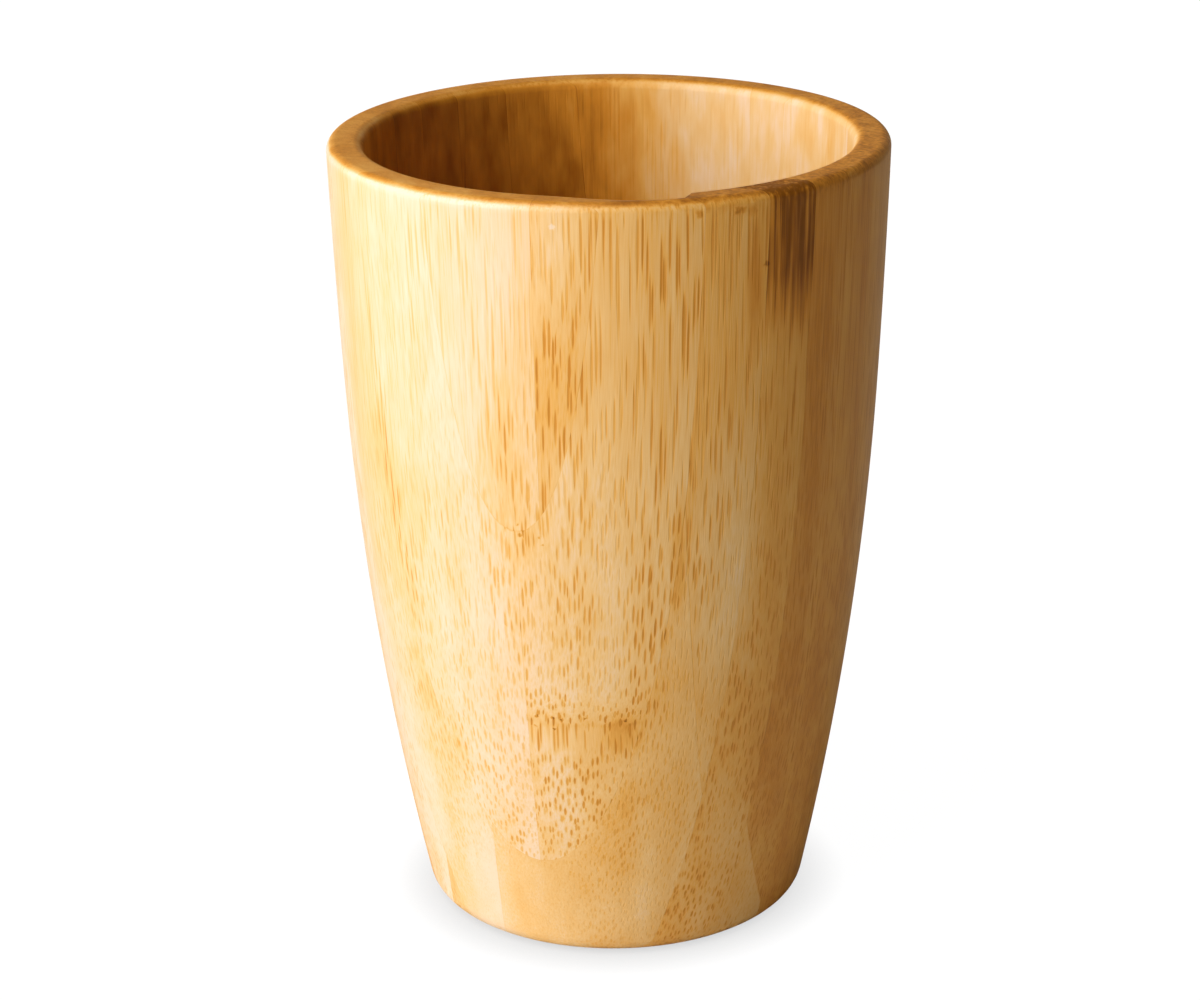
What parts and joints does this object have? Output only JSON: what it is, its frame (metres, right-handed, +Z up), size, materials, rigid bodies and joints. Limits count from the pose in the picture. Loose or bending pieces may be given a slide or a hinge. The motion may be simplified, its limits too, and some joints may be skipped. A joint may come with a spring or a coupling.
{
  "type": "bamboo cup",
  "caption": "Tapered drinking cup turned and bored from a glued block of bamboo strips, with a rounded foot, one open hollow and a softly rounded rim.",
  "frame": {"origin": "centre of the flat underside, on the cup's turning axis", "axes": "+Z up along the turning axis and the bamboo fibres; plies are stacked along +Y from front to back; strips lie side by side along +X from left to right"},
  "size_m": [0.076, 0.076, 0.11],
  "materials": {
    "bamboo_straw": "satin clear lacquer on upright bamboo fibre",
    "bamboo_honey": "satin clear lacquer on upright bamboo fibre",
    "bamboo_cream": "satin clear lacquer on upright bamboo fibre",
    "bamboo_tan": "satin clear lacquer on upright bamboo fibre",
    "bamboo_gold": "satin clear lacquer on upright bamboo fibre"
  },
  "bodies": {
    "root": {"ply_01_strip_1": "bamboo_straw", "ply_01_strip_2": "bamboo_honey", "ply_02_strip_1": "bamboo_cream", "ply_02_strip_2": "bamboo_tan", "ply_03_strip_1": "bamboo_gold", "ply_03_strip_2": "bamboo_straw", "ply_03_strip_3": "bamboo_honey", "ply_04_strip_1": "bamboo_honey", "ply_04_strip_2": "bamboo_cream", "ply_04_strip_3": "bamboo_tan", "ply_05_strip_1": "bamboo_tan", "ply_05_strip_2": "bamboo_gold", "ply_05_strip_3": "bamboo_straw", "ply_05_strip_4": "bamboo_honey", "ply_06_strip_1": "bamboo_straw", "ply_06_strip_2": "bamboo_honey", "ply_06_strip_3": "bamboo_cream", "ply_07_strip_1": "bamboo_cream", "ply_07_strip_2": "bamboo_tan", "ply_07_strip_3": "bamboo_gold", "ply_08_strip_1": "bamboo_gold", "ply_08_strip_2": "bamboo_straw", "ply_08_strip_3": "bamboo_honey", "ply_09_strip_1": "bamboo_honey", "ply_09_strip_2": "bamboo_cream", "ply_09_strip_3": "bamboo_tan", "ply_10_strip_1": "bamboo_tan", "ply_10_strip_2": "bamboo_gold", "ply_10_strip_3": "bamboo_straw", "ply_10_strip_4": "bamboo_honey", "ply_11_strip_1": "bamboo_straw", "ply_11_strip_2": "bamboo_honey", "ply_11_strip_3": "bamboo_cream", "ply_12_strip_1": "bamboo_cream", "ply_12_strip_2": "bamboo_tan", "ply_12_strip_3": "bamboo_gold", "ply_13_strip_1": "bamboo_gold", "ply_13_strip_2": "bamboo_straw"}
  },
  "joints": []
}
